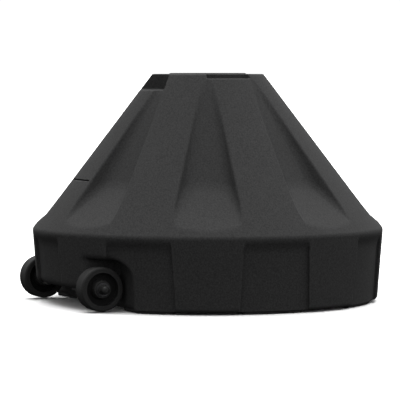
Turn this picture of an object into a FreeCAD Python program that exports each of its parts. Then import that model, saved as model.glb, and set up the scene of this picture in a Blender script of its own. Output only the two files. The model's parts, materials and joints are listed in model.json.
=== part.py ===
import FreeCAD, Part
import math
import os
import re
import PartDesign
import Sketcher

# Round, eight-sided-symmetric water ballast tank on two wheels, in millimetres.
# +Z is up, the origin is on the ground on the tank's axis, and the wheels are on the -Y side with
# their axle along X.

SIZES = {
    # tank form
    "skirt_radius": 381,          # at the skirt's upper edge, where it is widest
    "foot_taper": 12,             # how much less the skirt's radius is at its lower edge
    "skirt_height": 159,
    "top_radius": 121,
    "tank_height": 493,           # at the top's outer edge
    "boss_radius": 82,            # the middle of the top stands a little higher
    "boss_height": 2,
    "boss_bevel": 2,
    "wall": 6,
    "belly_height": 5.5,          # the foot pads hold the tank's bottom this far off the ground
    "skirt_round": 11,
    "top_round": 6,
    "belly_round": 9,
    "seat_gap": 0.05,             # between pieces that are seated in each other
    "base_seam": 13,              # height where the tank's base joins its sides
    "crown_margin": 6,            # how far its crown runs on below the grip pocket
    # eight sectors
    "sector_count": 8,
    "pad_setback": 12,            # from the skirt's lower edge
    "pad_length": 67,
    "pad_angle": 21.4,
    "panel_depth": 7.5,
    "panel_angle": 21.8,
    "panel_height": 150,          # the recess's upper edge at the outer surface
    "panel_slope": 17,            # and how far its sloping ceiling comes down
    "flute_start_drop": 15,       # below the tank's top
    "flute_start_half": 12,
    "heel_height": 258,           # where a flute's floor turns into its scoop
    "heel_depth": 34,
    "heel_half": 44,
    "scoop_end_rise": 14,         # above the skirt's upper edge
    "scoop_end_half": 77,
    "flute_flare": 0.45,          # how far a flute's wall leans out for each millimetre outwards
    # grip pocket, edge notches and finger slot
    "grip_depth": 34,
    "grip_reach": 34,             # in from the top's edge
    "grip_angle": 54,
    "notch_drop": 10,
    "notch_reach": 13,
    "notch_angle": 46,
    "slot_height": 267,
    "slot_gap": 2.6,
    "slot_depth": 4,
    "slot_angle": 17.5,
    # axle and wheels
    "axle_inset": 62.5,           # from the skirt's upper edge
    "axle_radius": 6,
    "axle_end": 15,               # how far the axle runs on past a wheel
    "axle_chamfer": 1,
    "running_clearance": 0.05,
    "side_gap": 0.3,              # between a turning face and a still one
    "wheel_radius": 46,
    "wheel_lift": 2.5,            # the wheels clear the ground by this until the tank is tilted
    "wheel_inner": 163,
    "wheel_width": 40,
    "tyre_shoulder": 5,
    "tread_thickness": 9,
    "rim_thickness": 2.5,
    "web_thickness": 7,
    "hub_radius": 21,
    "hub_taper": 3,
    "bush_wall": 3,
    "bush_length": 14,
    "bush_lip": 3,
    "bush_flange": 1.5,
    "washer_band": 8,
    "washer_thickness": 1.6,
    "axle_cap_wall": 2.5,
    "axle_cap_lip": 2.5,
    "axle_cap_flange": 2,
    "axle_cap_length": 13,
    "axle_cap_dome": 5,
    # wheel bay
    "bay_gap": 8,                 # between a wheel and the wall behind it
    "axle_sink": 3.5,             # the axle's middle lies this far up in the raised skirt
    "well_side_gap": 8,           # between a wheel's inner face and its well
    "well_side_room": 40,         # between a wheel's outer face and its well
    "well_head_room": 14.5,
    "well_round": 40,
    "rail_half": 30,              # half the width of the thick strip that carries the axle
    # saddles under the axle
    "saddle_place": 92,
    "saddle_width": 26,
    "saddle_margin": 8,           # from a screw's middle to the saddle's end
    "saddle_floor": 2.6,
    "screw_margin": 10,           # from the axle to a screw's middle
    "screw_radius": 2,
    "screw_depth": 10,
    "screw_tip_gap": 0.5,
    "screw_head_radius": 4.4,
    "screw_head": 2.4,
    "screw_head_bevel": 1,
    # fill neck and cap
    "neck_bore": 31,
    "neck_wall": 5,
    "neck_depth": 33,
    "neck_lip": 8,
    "neck_flange": 3,
    "gasket_thickness": 1.2,
    "gasket_setback": 1,          # from the neck's bore
    "gasket_band": 6,
    "fill_cap_lip": 1,            # past the gasket
    "fill_cap_flange": 2.4,
    "fill_cap_wall": 3,
    "fill_cap_depth": 16,
    "fill_cap_dish": 10,
    "fill_cap_bevel": 0.8,
    "grip_bar_width": 9,
    "thread_gap": 0.3,
    "cap_well_gap": 8,            # round the fill cap, in the sunken middle of the tank's top
    "cap_well_depth": 8,
    # drain
    "drain_height": 30,
    "drain_bore": 8.2,
    "drain_wall": 2.8,
    "drain_length": 18,
    "drain_lip": 4,
    "drain_flange": 2.4,
    "drain_spot_gap": 2,
    "drain_spot_depth": 1,
    "drain_seal": 1.5,
    "plug_gap": 0.1,
    "plug_lip": 4.8,
    "plug_head": 4.6,
    "plug_length": 12,
    "plug_bevel": 1,
    "coin_slot_width": 2.6,
    "coin_slot_depth": 2.4,
}

# Values that follow from the sizes, written as expressions of them.
FOOT_RADIUS = "(skirt_radius - foot_taper)"
PAD_RADIUS = f"({FOOT_RADIUS} - pad_setback)"
CONE_RUN = "((skirt_radius - top_radius) / (tank_height - skirt_height))"
CONE_SECANT = f"sqrt(1 + {CONE_RUN} ^ 2)"
SKIRT_RUN = "(foot_taper / (skirt_height - belly_height))"
FLUTE_START = "(tank_height - flute_start_drop)"
FLUTE_START_RADIUS = f"(top_radius + flute_start_drop * {CONE_RUN})"
HEEL_RADIUS = f"(top_radius + (tank_height - heel_height) * {CONE_RUN} - heel_depth)"
SCOOP_END = "(skirt_height + scoop_end_rise)"
SCOOP_END_RADIUS = f"(top_radius + (tank_height - {SCOOP_END}) * {CONE_RUN})"
FLUTE_RUN = f"(({HEEL_RADIUS} - {FLUTE_START_RADIUS}) / ({FLUTE_START} - heel_height))"
FLUTE_SPREAD = f"((heel_half - flute_start_half) / ({FLUTE_START} - heel_height))"
SCOOP_RUN = f"(({SCOOP_END_RADIUS} - {HEEL_RADIUS}) / (heel_height - {SCOOP_END}))"
SCOOP_SPREAD = f"((scoop_end_half - heel_half) / (heel_height - {SCOOP_END}))"
GRIP_FLOOR = "(tank_height - grip_depth)"
CROWN_SEAM = f"({GRIP_FLOOR} - wall - crown_margin)"
WHEEL_OUTER = "(wheel_inner + wheel_width)"
AXLE_OFFSET = "(skirt_radius - axle_inset)"
AXLE_HEIGHT = "(wheel_radius + wheel_lift)"
AXLE_HALF = f"({WHEEL_OUTER} + axle_end)"
CORE_RADIUS = "(wheel_radius - tread_thickness)"
BUSH_RADIUS = "(axle_radius + bush_wall)"
CAP_RADIUS = "(axle_radius + axle_cap_wall)"
CAP_START = f"({WHEEL_OUTER} + bush_flange + washer_thickness + 2 * side_gap)"
BAY_BACK = f"({AXLE_OFFSET} - wheel_radius - bay_gap)"
BAY_HEIGHT = f"({AXLE_HEIGHT} - axle_sink)"
WELL_INNER = "(wheel_inner - well_side_gap)"
WELL_OUTER = f"({WHEEL_OUTER} + well_side_room)"
WELL_HEIGHT = f"({AXLE_HEIGHT} + wheel_radius + well_head_room)"
SADDLE_TOP = "(-axle_sink)"
SADDLE_BOTTOM = "(-axle_radius - saddle_floor)"
SCREW_PLACE = "(axle_radius + screw_margin)"
TOP = "(tank_height + boss_height)"
DECK = f"({TOP} - cap_well_depth)"
NECK_OUTER = "(neck_bore + neck_wall)"
GASKET_INNER = "(neck_bore + gasket_setback)"
GASKET_OUTER = f"({GASKET_INNER} + gasket_band)"
FILL_CAP_RADIUS = f"({GASKET_OUTER} + fill_cap_lip)"
CAP_WELL_RADIUS = f"({FILL_CAP_RADIUS} + cap_well_gap)"
CAP_TUBE = "(neck_bore - thread_gap)"
CAP_UNDERSIDE = "(gasket_thickness + 2 * seat_gap)"
CAP_TOP = f"({CAP_UNDERSIDE} + fill_cap_flange)"
DRAIN_FACE = f"({FOOT_RADIUS} - panel_depth - drain_spot_depth)"
DRAIN_SLEEVE = "(drain_bore + drain_wall)"
DRAIN_FLANGE_RADIUS = f"({DRAIN_SLEEVE} + drain_lip)"
PLUG_RADIUS = "(drain_bore + plug_lip)"
PLUG_FACE = f"({DRAIN_FACE} + drain_flange + drain_seal + 3 * seat_gap)"

BEYOND = 60                       # how far cutting tools reach past the surface they cut
PAST = 2                          # and how far past a face that they only have to clear
TOE = 12                          # how far a scoop's tool runs on below the scoop's end
OUT_ALONG_X = FreeCAD.Rotation(FreeCAD.Vector(0, 1, 0), 90)
OUT_ALONG_MINUS_X = FreeCAD.Rotation(FreeCAD.Vector(0, 1, 0), -90)
OUT_ALONG_Y = FreeCAD.Rotation(FreeCAD.Vector(1, 0, 0), -90)
UPRIGHT = FreeCAD.Rotation()
HALF_SECTOR = 180 / SIZES["sector_count"]     # the flutes stand half a sector round from the panels

doc = FreeCAD.newDocument("ballast_tank")
sheet = doc.addObject("Spreadsheet::Sheet", "Sizes")
subparts = []


# ---------------------------------------------------------------- sheet and expressions

def fill_sheet():
    """Write each driving size and its name into the sheet."""
    for row, (name, number) in enumerate(SIZES.items(), start=1):
        sheet.set(f"A{row}", name)
        sheet.set(f"B{row}", str(number))
        sheet.setAlias(f"B{row}", name)
    doc.recompute()


def cells(expression):
    """The expression with each size's name written as a cell of the sheet."""
    return re.sub(r"[a-z_]+", lambda word: f"Sizes.{word.group()}" if word.group() in SIZES
                  else word.group(), str(expression))


def value(expression):
    """The expression's value now, as a number."""
    return float(sheet.evalExpression(cells(expression)))


def bind(thing, target, expression):
    thing.setExpression(target, cells(expression))


# ---------------------------------------------------------------- building blocks

def origin_feature(body, role):
    return next(item for item in body.Origin.OriginFeatures if item.Role == role)


def new_body(label):
    body = doc.addObject("PartDesign::Body", label)
    body.Label = label
    return body


def new_sketch(body, plane, lift="0", turn=0):
    """An empty sketch on one of the body's origin planes, lifted along its normal and turned on it."""
    sketch = body.newObject("Sketcher::SketchObject", "sketch")
    sketch.AttachmentSupport = (origin_feature(body, plane), [""])
    sketch.MapMode = "FlatFace"
    spin = FreeCAD.Rotation(FreeCAD.Vector(0, 0, 1), turn)
    sketch.AttachmentOffset = FreeCAD.Placement(FreeCAD.Vector(0, 0, value(lift)), spin)
    bind(sketch, "AttachmentOffset.Base.z", lift)
    return sketch


def arc_between(start, end, radius):
    """The short arc from start to end; a negative radius turns clockwise."""
    chord = end - start
    rise = math.sqrt(max(radius ** 2 - (chord.Length / 2) ** 2, 0))
    left = FreeCAD.Vector(-chord.y, chord.x, 0).normalize()
    centre = (start + end) / 2 + left * math.copysign(rise, radius)
    circle = Part.Circle(centre, FreeCAD.Vector(0, 0, 1), abs(radius))
    first, last = (start, end) if radius > 0 else (end, start)
    return Part.ArcOfCircle(circle, circle.parameter(first), circle.parameter(last))


def draw(sketch, corners):
    """
    Close an outline through the corners, each (x, y) or (x, y, radius) in expressions. A third value
    makes the edge that leaves that corner an arc of that radius, clockwise where it is negative.
    """
    places = [FreeCAD.Vector(value(corner[0]), value(corner[1]), 0) for corner in corners]
    ends = []
    for index, corner in enumerate(corners):
        start = places[index]
        end = places[(index + 1) % len(corners)]
        if len(corner) == 2:
            sketch.addGeometry(Part.LineSegment(start, end), False)
            ends.append((1, 2))
        else:
            radius = value(corner[2])
            sketch.addGeometry(arc_between(start, end, radius), False)
            ends.append((1, 2) if radius > 0 else (2, 1))
            mark = sketch.addConstraint(Sketcher.Constraint("Radius", index, abs(radius)))
            bind(sketch, f"Constraints[{mark}]", f"abs({corner[2]})")
    for index, corner in enumerate(corners):
        after = (index + 1) % len(corners)
        sketch.addConstraint(
            Sketcher.Constraint("Coincident", index, ends[index][1], after, ends[after][0]))
        for kind, number, expression in (("DistanceX", places[index].x, corner[0]),
                                         ("DistanceY", places[index].y, corner[1])):
            mark = sketch.addConstraint(
                Sketcher.Constraint(kind, -1, 1, index, ends[index][0], number))
            bind(sketch, f"Constraints[{mark}]", expression)


def draw_circle(sketch, x, y, radius):
    centre = FreeCAD.Vector(value(x), value(y), 0)
    circle = Part.Circle(centre, FreeCAD.Vector(0, 0, 1), value(radius))
    index = sketch.addGeometry(circle, False)
    for kind, number, expression in (("DistanceX", centre.x, x), ("DistanceY", centre.y, y)):
        mark = sketch.addConstraint(Sketcher.Constraint(kind, -1, 1, index, 3, number))
        bind(sketch, f"Constraints[{mark}]", expression)
    mark = sketch.addConstraint(Sketcher.Constraint("Radius", index, circle.Radius))
    bind(sketch, f"Constraints[{mark}]", radius)


def box_outline(low_x, low_y, high_x, high_y):
    return [(low_x, low_y), (high_x, low_y), (high_x, high_y), (low_x, high_y)]


def turn_about_axis(body, kind, sketch, angle="360"):
    """Turn a sketch about the body's Z axis, to add to the body or to cut it."""
    feature = body.newObject(f"PartDesign::{kind}", kind.lower())
    feature.Profile = sketch
    feature.ReferenceAxis = (origin_feature(body, "Z_Axis"), [""])
    feature.Midplane = True
    bind(feature, "Angle", angle)
    return feature


def extrude(body, kind, sketch, length, reverse=False, both_ways=False):
    feature = body.newObject(f"PartDesign::{kind}", kind.lower())
    feature.Profile = sketch
    feature.Reversed = reverse
    feature.Midplane = both_ways
    bind(feature, "Length", length)
    return feature


def repeat_round(body, feature, count):
    """Repeat a feature evenly round the body's Z axis."""
    pattern = body.newObject("PartDesign::PolarPattern", "pattern")
    pattern.Originals = [feature]
    pattern.Axis = (origin_feature(body, "Z_Axis"), [""])
    pattern.Angle = 360
    bind(pattern, "Occurrences", count)
    body.Tip = pattern
    return pattern


def mirror_across_x(body, feature):
    mirrored = body.newObject("PartDesign::Mirrored", "mirrored")
    mirrored.Originals = [feature]
    mirrored.MirrorPlane = (origin_feature(body, "YZ_Plane"), [""])
    body.Tip = mirrored
    return mirrored


def turned(label, corners, rotation=UPRIGHT, place=("0", "0", "0")):
    """A body turned from an outline of (radius, distance along its axis), set at its place."""
    body = new_body(label)
    sketch = new_sketch(body, "XZ_Plane")
    draw(sketch, corners)
    turn_about_axis(body, "Revolution", sketch)
    body.Placement = FreeCAD.Placement(FreeCAD.Vector(), rotation)
    for axis, expression in zip("xyz", place):
        bind(body, f"Placement.Base.{axis}", expression)
    return body


def ring(inner, outer, low, high):
    """Outline of a plain ring."""
    return box_outline(inner, low, outer, high)


def keep(subpart):
    """Count an object as one of the sub-parts, which are checked and written out."""
    subparts.append(subpart)
    return subpart


# ---------------------------------------------------------------- tank

def tank_blank(body, inset):
    """The skirt and cone as one turned solid, its surface moved inwards by the inset."""
    drop = f"{inset} * ({CONE_SECANT} - 1) / ({CONE_RUN} + {SKIRT_RUN})"
    sketch = new_sketch(body, "XZ_Plane")
    draw(sketch, [
        ("0", f"belly_height + {inset}"),
        (f"{FOOT_RADIUS} - {inset}", f"belly_height + {inset}"),
        (f"skirt_radius - {inset} - ({drop}) * {SKIRT_RUN}", f"skirt_height - {drop}"),
        (f"top_radius - {inset} * ({CONE_SECANT} - {CONE_RUN})", f"tank_height - {inset}"),
        (f"boss_radius - {inset}", f"tank_height - {inset}"),
        (f"boss_radius - boss_bevel - {inset}", f"{TOP} - {inset}"),
        ("0", f"{TOP} - {inset}"),
    ])
    turn_about_axis(body, "Revolution", sketch)


def round_rim(body, height, radius):
    """Round the circular edges of the turned solid at a height."""
    doc.recompute()
    base = body.Tip
    names = [f"Edge{index}" for index, edge in enumerate(base.Shape.Edges, start=1)
             if edge.BoundBox.ZLength < 1e-6 and abs(edge.BoundBox.ZMin - value(height)) < 1e-3]
    fillet = body.newObject("PartDesign::Fillet", "fillet")
    fillet.Base = (base, names)
    bind(fillet, "Radius", radius)


def cut_flutes(body, inset):
    """Eight flutes: a flaring floor from nothing at the top to a heel, then a scoop out to the skirt."""
    deeper = f"({inset} * sqrt(1 + {SCOOP_RUN} ^ 2))"
    wider = f"({inset} * sqrt(1 + flute_flare ^ 2))"
    over = f"(flute_start_drop + {PAST})"
    top = f"(tank_height + {PAST})"
    toe = f"({SCOOP_END} - {TOE})"
    stations = [
        (top, f"{FLUTE_START_RADIUS} - {over} * {FLUTE_RUN}",
         f"flute_start_half - {over} * {FLUTE_SPREAD}"),
        ("heel_height", HEEL_RADIUS, "heel_half"),
        (toe, f"{SCOOP_END_RADIUS} + {TOE} * {SCOOP_RUN}",
         f"scoop_end_half + {TOE} * {SCOOP_SPREAD}"),
    ]
    sections = []
    for height, radius, half in stations:
        floor = f"({radius} - {deeper})"
        low = f"({half} + {wider})"
        high = f"({low} + {BEYOND} * flute_flare)"
        sketch = new_sketch(body, "XY_Plane", height, HALF_SECTOR)
        draw(sketch, [
            (floor, f"-{low}"),
            (f"{floor} + {BEYOND}", f"-{high}"),
            (f"{floor} + {BEYOND}", high),
            (floor, low),
        ])
        sections.append(sketch)
    loft = body.newObject("PartDesign::SubtractiveLoft", "flute")
    loft.Profile = sections[0]
    loft.Sections = sections[1:]
    loft.Ruled = True
    repeat_round(body, loft, "sector_count")


def cut_panels(body, inset):
    """Eight shallow recesses round the skirt, open at the bottom, with sloping ceilings."""
    sketch = new_sketch(body, "XZ_Plane")
    floor_low = f"{FOOT_RADIUS} - belly_height * {SKIRT_RUN} - panel_depth - {inset}"
    ceiling_low = f"(panel_height - panel_slope + {inset})"
    rise = f"({ceiling_low} - belly_height)"
    floor_high = f"{FOOT_RADIUS} + {rise} * {SKIRT_RUN} - panel_depth - {inset}"
    draw(sketch, [
        (floor_low, "0"),
        (f"skirt_radius + {BEYOND}", "0"),
        (f"skirt_radius + {BEYOND}", f"panel_height + {inset} + {BEYOND} * panel_slope / panel_depth"),
        (floor_high, ceiling_low),
    ])
    groove = turn_about_axis(body, "Groove", sketch, widened("panel_angle", inset, FOOT_RADIUS))
    repeat_round(body, groove, "sector_count")


def add_pads(body):
    """Eight foot pads under the panels."""
    sketch = new_sketch(body, "XZ_Plane")
    inner = f"{PAD_RADIUS} - pad_length"
    draw(sketch, box_outline(inner, "0", PAD_RADIUS, f"belly_height + {PAST}"))
    pad = turn_about_axis(body, "Revolution", sketch, "pad_angle")
    repeat_round(body, pad, "sector_count")


def cut_wheel_bay(body, inset):
    """Raise the skirt between the wheels and open a well round each wheel."""
    back = f"({BAY_BACK} - {inset})"
    under = f"-{PAST}"
    half = f"({WELL_INNER} + {inset})"
    bay = new_sketch(body, "XZ_Plane", back)
    draw(bay, box_outline(f"-{half}", under, half, f"{BAY_HEIGHT} + {inset}"))
    extrude(body, "Pocket", bay, f"skirt_radius - {back} + {BEYOND}", reverse=True)
    well = new_sketch(body, "XZ_Plane", back)
    side = f"({WELL_OUTER} + {inset})"
    ceiling = f"({WELL_HEIGHT} + {inset})"
    corner = f"(well_round + {inset})"
    draw(well, [
        (f"{WELL_INNER} - {inset}", under),
        (side, under),
        (side, f"{ceiling} - {corner}", corner),
        (f"{side} - {corner}", ceiling),
        (f"{WELL_INNER} - {inset}", ceiling),
    ])
    pocket = extrude(body, "Pocket", well, f"skirt_radius - {back} + {BEYOND}", reverse=True)
    mirror_across_x(body, pocket)


def widened(angle, inset, radius):
    """An angle with the inset added to each side of it, measured round the radius."""
    return f"{angle} + 2 * {inset} / {radius} * 180 / pi"


def cut_sector(body, plane, sign, inner, low, high, angle):
    """Cut away what lies outside a radius and between two heights, over an angle about one axis."""
    sketch = new_sketch(body, plane)
    near = f"{sign}({inner})"
    far = f"{sign}(skirt_radius + {BEYOND})"
    left, right = (near, far) if sign == "" else (far, near)
    draw(sketch, box_outline(left, low, right, high))
    return turn_about_axis(body, "Groove", sketch, angle)


def cut_top_edge(body, inset):
    """The grip pocket over the wheels, and a shallow notch at each end of the X axis."""
    over = f"{TOP} + {BEYOND}"
    cut_sector(body, "YZ_Plane", "-", f"top_radius - grip_reach - {inset}", f"{GRIP_FLOOR} - {inset}",
               over, widened("grip_angle", inset, "top_radius"))
    notch = cut_sector(body, "XZ_Plane", "", f"top_radius - notch_reach - {inset}",
                       f"tank_height - notch_drop - {inset}", over,
                       widened("notch_angle", inset, "top_radius"))
    repeat_round(body, notch, "2")


def sink_cap_well(body, inset):
    """A round well in the middle of the top, so that the fill cap lies below the tank's edge."""
    sketch = new_sketch(body, "XY_Plane", f"{DECK} - {inset}")
    draw_circle(sketch, "0", "0", f"{CAP_WELL_RADIUS} + {inset}")
    extrude(body, "Pocket", sketch, BEYOND, reverse=True)


def cut_finger_slot(body):
    """A thin slot across the ridge over the wheels."""
    surface = f"(top_radius + (tank_height - slot_height) * {CONE_RUN})"
    cut_sector(body, "YZ_Plane", "-", f"{surface} - slot_depth", "slot_height - slot_gap / 2",
               "slot_height + slot_gap / 2", "slot_angle")


def cut_axle_groove(body):
    """A groove along X in the raised skirt's underside, for the axle."""
    reach = "(axle_radius + running_clearance)"
    length = f"2 * ({WELL_INNER} + {PAST})"
    sketch = new_sketch(body, "YZ_Plane")
    draw(sketch, box_outline(f"-{AXLE_OFFSET} - {reach}", f"{BAY_HEIGHT} - {PAST}",
                             f"-{AXLE_OFFSET} + {reach}", AXLE_HEIGHT))
    extrude(body, "Pocket", sketch, length, both_ways=True)
    tunnel = new_sketch(body, "YZ_Plane")
    draw_circle(tunnel, f"-{AXLE_OFFSET}", AXLE_HEIGHT, reach)
    extrude(body, "Pocket", tunnel, length, both_ways=True)


def cut_screw_holes(body):
    """Four blind holes up into the axle's strip, for the saddle screws."""
    sketch = new_sketch(body, "XY_Plane", f"{BAY_HEIGHT} - {PAST}")
    for side in ("-", ""):
        for place in ("-", "+"):
            draw_circle(sketch, f"{side}saddle_place", f"-{AXLE_OFFSET} {place} {SCREW_PLACE}",
                        "screw_radius + seat_gap")
    extrude(body, "Pocket", sketch, f"screw_depth + screw_tip_gap + {PAST}", reverse=True)


def cut_rail(body):
    """Leave the strip that carries the axle thick, by cutting the hollow back from it."""
    sketch = new_sketch(body, "YZ_Plane")
    draw(sketch, box_outline(f"-{AXLE_OFFSET} - rail_half", "0", f"-{AXLE_OFFSET} + rail_half",
                             f"{AXLE_HEIGHT} + axle_radius + wall"))
    extrude(body, "Pocket", sketch, f"2 * ({WELL_INNER} + wall)", both_ways=True)


def cut_drain_spot(body, inset):
    """A flat spot in the rear panel for the drain's flange."""
    sketch = new_sketch(body, "XZ_Plane", f"-({DRAIN_FACE}) + {inset}")
    draw_circle(sketch, "0", "drain_height", f"{DRAIN_FLANGE_RADIUS} + drain_spot_gap + {inset}")
    extrude(body, "Pocket", sketch, BEYOND)


def tank_form(label, inset):
    body = new_body(label)
    tank_blank(body, inset)
    if inset == "0":
        round_rim(body, "skirt_height", "skirt_round")
        round_rim(body, "tank_height", "top_round")
        round_rim(body, "belly_height", "belly_round")
    cut_flutes(body, inset)
    cut_panels(body, inset)
    if inset == "0":
        add_pads(body)
    cut_wheel_bay(body, inset)
    cut_top_edge(body, inset)
    sink_cap_well(body, inset)
    cut_drain_spot(body, inset)
    if inset == "0":
        cut_finger_slot(body)
        cut_axle_groove(body)
        cut_screw_holes(body)
    else:
        cut_rail(body)
    return body


def bore_tool(label, radius, length, rotation, place):
    """A cylinder that cuts a bore, centred on its place."""
    tool = doc.addObject("Part::Cylinder", label)
    bind(tool, "Radius", radius)
    bind(tool, "Height", length)
    tool.Placement = FreeCAD.Placement(FreeCAD.Vector(), rotation)
    for axis, expression in zip("xyz", place):
        bind(tool, f"Placement.Base.{axis}", expression)
    return tool


def zone(label, low, height, angle="360", turn=0):
    """A cylinder, or a wedge of one, that holds everything of the tank between two heights."""
    tool = doc.addObject("Part::Cylinder", label)
    bind(tool, "Radius", f"skirt_radius + {BEYOND}")
    bind(tool, "Height", height)
    bind(tool, "Angle", angle)
    tool.Placement = FreeCAD.Placement(FreeCAD.Vector(), FreeCAD.Rotation(turn, 0, 0))
    bind(tool, "Placement.Base.z", low)
    return tool


def make_tank():
    """The hollow tank, parted along plain planes into its base, eight sides and crown."""
    outside = tank_form("tank_outside", "0")
    hollow = tank_form("tank_hollow", "wall")
    neck_bore = bore_tool("neck_opening", f"{NECK_OUTER} + seat_gap", "3 * wall", UPRIGHT,
                          ("0", "0", f"{DECK} - 2 * wall"))
    drain_bore = bore_tool("drain_opening", f"{DRAIN_SLEEVE} + seat_gap", "3 * wall",
                           OUT_ALONG_Y, ("0", f"{DRAIN_FACE} - 2 * wall", "drain_height"))
    removed = doc.addObject("Part::MultiFuse", "tank_removed")
    removed.Shapes = [hollow, neck_bore, drain_bore]
    shell = doc.addObject("Part::Cut", "tank_shell")
    shell.Base = outside
    shell.Tool = removed
    zones = [("tank_base", zone("base_zone", "0", "base_seam")),
             ("tank_crown", zone("crown_zone", CROWN_SEAM, "tank_height"))]
    for index in range(SIZES["sector_count"]):
        wedge = zone(f"side_zone_{index + 1}", "base_seam", f"{CROWN_SEAM} - base_seam",
                     "360 / sector_count", 2 * HALF_SECTOR * index)
        zones.append((f"tank_side_{index + 1}", wedge))
    for label, part_zone in zones:
        piece = doc.addObject("Part::Common", label)
        piece.Base = shell
        piece.Tool = part_zone
        keep(piece)


# ---------------------------------------------------------------- fill neck and cap

def make_fill_neck():
    under = "(-wall - seat_gap)"
    return keep(turned("fill_neck", [
        ("neck_bore", "-neck_depth"),
        (NECK_OUTER, "-neck_depth"),
        (NECK_OUTER, f"{under} - neck_flange"),
        (f"{NECK_OUTER} + neck_lip", f"{under} - neck_flange"),
        (f"{NECK_OUTER} + neck_lip", under),
        (NECK_OUTER, under),
        (NECK_OUTER, "0"),
        ("neck_bore", "0"),
    ], place=("0", "0", DECK)))


def make_fill_gasket():
    outline = ring(GASKET_INNER, GASKET_OUTER, "seat_gap", "seat_gap + gasket_thickness")
    return keep(turned("fill_cap_gasket", outline, place=("0", "0", DECK)))


def make_fill_cap():
    dish_wall = f"({CAP_TUBE} - fill_cap_wall)"
    dish_floor = "(-fill_cap_dish)"
    cap = turned("fill_cap", [
        ("0", f"{dish_floor} - fill_cap_wall"),
        (dish_wall, f"{dish_floor} - fill_cap_wall"),
        (dish_wall, "-fill_cap_depth"),
        (CAP_TUBE, "-fill_cap_depth"),
        (CAP_TUBE, CAP_UNDERSIDE),
        (FILL_CAP_RADIUS, CAP_UNDERSIDE),
        (FILL_CAP_RADIUS, f"{CAP_TOP} - fill_cap_bevel"),
        (f"{FILL_CAP_RADIUS} - fill_cap_bevel", CAP_TOP),
        (dish_wall, CAP_TOP),
        (dish_wall, dish_floor),
        ("0", dish_floor),
    ], place=("0", "0", DECK))
    bar = new_sketch(cap, "XY_Plane", f"{dish_floor} - fill_cap_wall / 2")
    half = f"({dish_wall} + fill_cap_wall / 2)"
    draw(bar, box_outline(f"-{half}", "-grip_bar_width / 2", half, "grip_bar_width / 2"))
    extrude(cap, "Pad", bar, f"fill_cap_dish + fill_cap_wall / 2 + {CAP_UNDERSIDE}")
    return keep(cap)


# ---------------------------------------------------------------- drain

def at_drain():
    return {"rotation": OUT_ALONG_Y, "place": ("0", DRAIN_FACE, "drain_height")}


def make_drain_bush():
    return keep(turned("drain_bush", [
        ("drain_bore", "-drain_length"),
        (DRAIN_SLEEVE, "-drain_length"),
        (DRAIN_SLEEVE, "seat_gap"),
        (DRAIN_FLANGE_RADIUS, "seat_gap"),
        (DRAIN_FLANGE_RADIUS, "seat_gap + drain_flange"),
        ("drain_bore", "seat_gap + drain_flange"),
    ], **at_drain()))


def make_drain_washer():
    low = "(drain_flange + 2 * seat_gap)"
    outline = ring("drain_bore + plug_gap", PLUG_RADIUS, low, f"{low} + drain_seal")
    return keep(turned("drain_plug_washer", outline, **at_drain()))


def make_drain_plug():
    shank = "(drain_bore - plug_gap)"
    start = f"({PLUG_FACE} - {DRAIN_FACE})"
    edge = "plug_bevel"
    plug = turned("drain_plug", [
        ("0", "-plug_length"),
        (f"{shank} - {edge}", "-plug_length"),
        (shank, f"-plug_length + {edge}"),
        (shank, start),
        (PLUG_RADIUS, start),
        (PLUG_RADIUS, f"{start} + plug_head - {edge}"),
        (f"{PLUG_RADIUS} - {edge}", f"{start} + plug_head"),
        ("0", f"{start} + plug_head"),
    ], **at_drain())
    slot = new_sketch(plug, "XY_Plane", f"{start} + plug_head")
    draw(slot, box_outline("-coin_slot_width / 2", f"-{PLUG_RADIUS} - {PAST}",
                           "coin_slot_width / 2", f"{PLUG_RADIUS} + {PAST}"))
    extrude(plug, "Pocket", slot, "coin_slot_depth")
    return keep(plug)


# ---------------------------------------------------------------- axle, wheels and saddles

AXLE_PLACE = ("0", f"-{AXLE_OFFSET}", AXLE_HEIGHT)


def make_axle():
    end = AXLE_HALF
    return keep(turned("axle", [
        ("0", f"-{end}"),
        ("axle_radius - axle_chamfer", f"-{end}"),
        ("axle_radius", f"-{end} + axle_chamfer"),
        ("axle_radius", f"{end} - axle_chamfer"),
        ("axle_radius - axle_chamfer", end),
        ("0", end),
    ], rotation=OUT_ALONG_X, place=AXLE_PLACE))


def wheel_core_outline():
    web_low = "(wheel_inner + (wheel_width - web_thickness) / 2)"
    web_high = f"({web_low} + web_thickness)"
    rim_inner = f"({CORE_RADIUS} - rim_thickness)"
    return [
        (BUSH_RADIUS, "wheel_inner"),
        ("hub_radius - hub_taper", "wheel_inner"),
        ("hub_radius", web_low),
        (rim_inner, web_low),
        (rim_inner, "wheel_inner"),
        (CORE_RADIUS, "wheel_inner"),
        (CORE_RADIUS, WHEEL_OUTER),
        (rim_inner, WHEEL_OUTER),
        (rim_inner, web_high),
        ("hub_radius", web_high),
        ("hub_radius - hub_taper", WHEEL_OUTER),
        (BUSH_RADIUS, WHEEL_OUTER),
    ]


def tyre_outline():
    shoulder = "tyre_shoulder"
    return [
        (CORE_RADIUS, "wheel_inner"),
        (f"wheel_radius - {shoulder}", "wheel_inner", shoulder),
        ("wheel_radius", f"wheel_inner + {shoulder}"),
        ("wheel_radius", f"{WHEEL_OUTER} - {shoulder}", shoulder),
        (f"wheel_radius - {shoulder}", WHEEL_OUTER),
        (CORE_RADIUS, WHEEL_OUTER),
    ]


def outer_bush_outline():
    bore = "(axle_radius + running_clearance)"
    return [
        (bore, f"{WHEEL_OUTER} - bush_length"),
        (BUSH_RADIUS, f"{WHEEL_OUTER} - bush_length"),
        (BUSH_RADIUS, WHEEL_OUTER),
        (f"{BUSH_RADIUS} + bush_lip", WHEEL_OUTER),
        (f"{BUSH_RADIUS} + bush_lip", f"{WHEEL_OUTER} + bush_flange"),
        (bore, f"{WHEEL_OUTER} + bush_flange"),
    ]


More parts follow.
